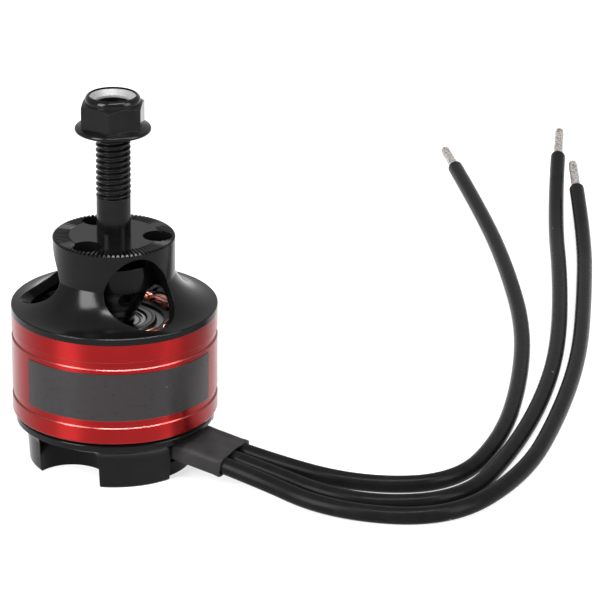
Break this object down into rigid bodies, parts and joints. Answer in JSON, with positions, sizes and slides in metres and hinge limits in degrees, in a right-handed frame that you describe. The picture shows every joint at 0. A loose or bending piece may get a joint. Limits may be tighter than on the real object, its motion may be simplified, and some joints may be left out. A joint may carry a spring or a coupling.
{
  "type": "brushless outrunner motor",
  "caption": "Brushless outrunner motor with a turning can, a footed base mount, a threaded propeller stud with a flange lock nut, and three flexible phase leads.",
  "frame": {"origin": "centre of the base mount's bottom face, on the spin axis", "axes": "+Z along the shaft towards the propeller stud; -Y through one foot of the base; the leads leave between -Y and +X"},
  "size_m": [0.1359, 0.1788, 0.0653],
  "materials": {
    "black_anodised": "satin black anodised aluminium",
    "red_anodised": "glossy red anodised aluminium",
    "label": "dark printed panel, bare",
    "stud_black": "black oxide steel",
    "nylon": "natural nylon",
    "bearing_steel": "ground bearing steel",
    "tube_aluminium": "turned aluminium",
    "lamination": "stacked electrical steel",
    "end_cap": "insulating end plate",
    "copper": "enamelled copper wire",
    "flux_steel": "plated mild steel",
    "magnet": "nickel plated magnet",
    "silicone": "soft black silicone",
    "shrink_tube": "black heat-shrink tube",
    "tinned_copper": "tinned stranded copper"
  },
  "bodies": {
    "stator": {"base_mount": "black_anodised", "bearing_tube": "tube_aluminium", "stator_core": "lamination", "stator_lower_end_cap": "end_cap", "stator_upper_end_cap": "end_cap", "winding_phase_a": "copper", "winding_phase_b": "copper", "winding_phase_c": "copper", "winding_tails": "copper", "lower_bearing_outer_race": "bearing_steel", "lower_bearing_shields": "bearing_steel", "upper_bearing_outer_race": "bearing_steel", "upper_bearing_shields": "bearing_steel", "heat_shrink_sleeve": "shrink_tube", "lead_far": "silicone", "lead_middle": "silicone", "lead_near": "silicone", "tinned_end_far": "tinned_copper", "tinned_end_middle": "tinned_copper", "tinned_end_near": "tinned_copper"},
    "rotor": {"bell": "black_anodised", "can_sleeve": "red_anodised", "flux_ring": "flux_steel", "magnets": "magnet", "label_panel": "label", "shaft": "bearing_steel", "prop_stud": "stud_black", "grub_screws": "stud_black", "retaining_clip": "bearing_steel", "shim": "bearing_steel", "lower_bearing_inner_race": "bearing_steel", "upper_bearing_inner_race": "bearing_steel"},
    "lower_ball_set": {"lower_bearing_balls": "bearing_steel", "lower_bearing_cage": "bearing_steel"},
    "upper_ball_set": {"upper_bearing_balls": "bearing_steel", "upper_bearing_cage": "bearing_steel"},
    "locking_ring": {"nylon_ring": "nylon"},
    "nut": {"flange_nut": "stud_black"}
  },
  "joints": [
    {"name": "rotor_spin", "type": "hinge", "parent": "stator", "child": "rotor", "pos_m": [0, 0, 0], "axis": [0, 0, 1], "continuous": true},
    {"name": "lower_cage_spin", "type": "hinge", "parent": "stator", "child": "lower_ball_set", "pos_m": [0, 0, 0], "axis": [0, 0, 1], "continuous": true},
    {"name": "upper_cage_spin", "type": "hinge", "parent": "stator", "child": "upper_ball_set", "pos_m": [0, 0, 0], "axis": [0, 0, 1], "continuous": true},
    {"name": "nut_travel", "type": "slide", "parent": "rotor", "child": "locking_ring", "axis": [0, 0, 1], "range_m": [-0.011, 0.0035]},
    {"name": "nut_turn", "type": "hinge", "parent": "locking_ring", "child": "nut", "pos_m": [0, 0, 0], "axis": [0, 0, 1], "range_deg": [-3970, 1270]}
  ],
  "couplings": [
    {"joint": "lower_cage_spin", "follows": "rotor_spin", "ratio": 0.4},
    {"joint": "upper_cage_spin", "follows": "rotor_spin", "ratio": 0.4},
    {"joint": "nut_turn", "follows": "nut_travel", "rad_per_m": 6283.2}
  ]
}
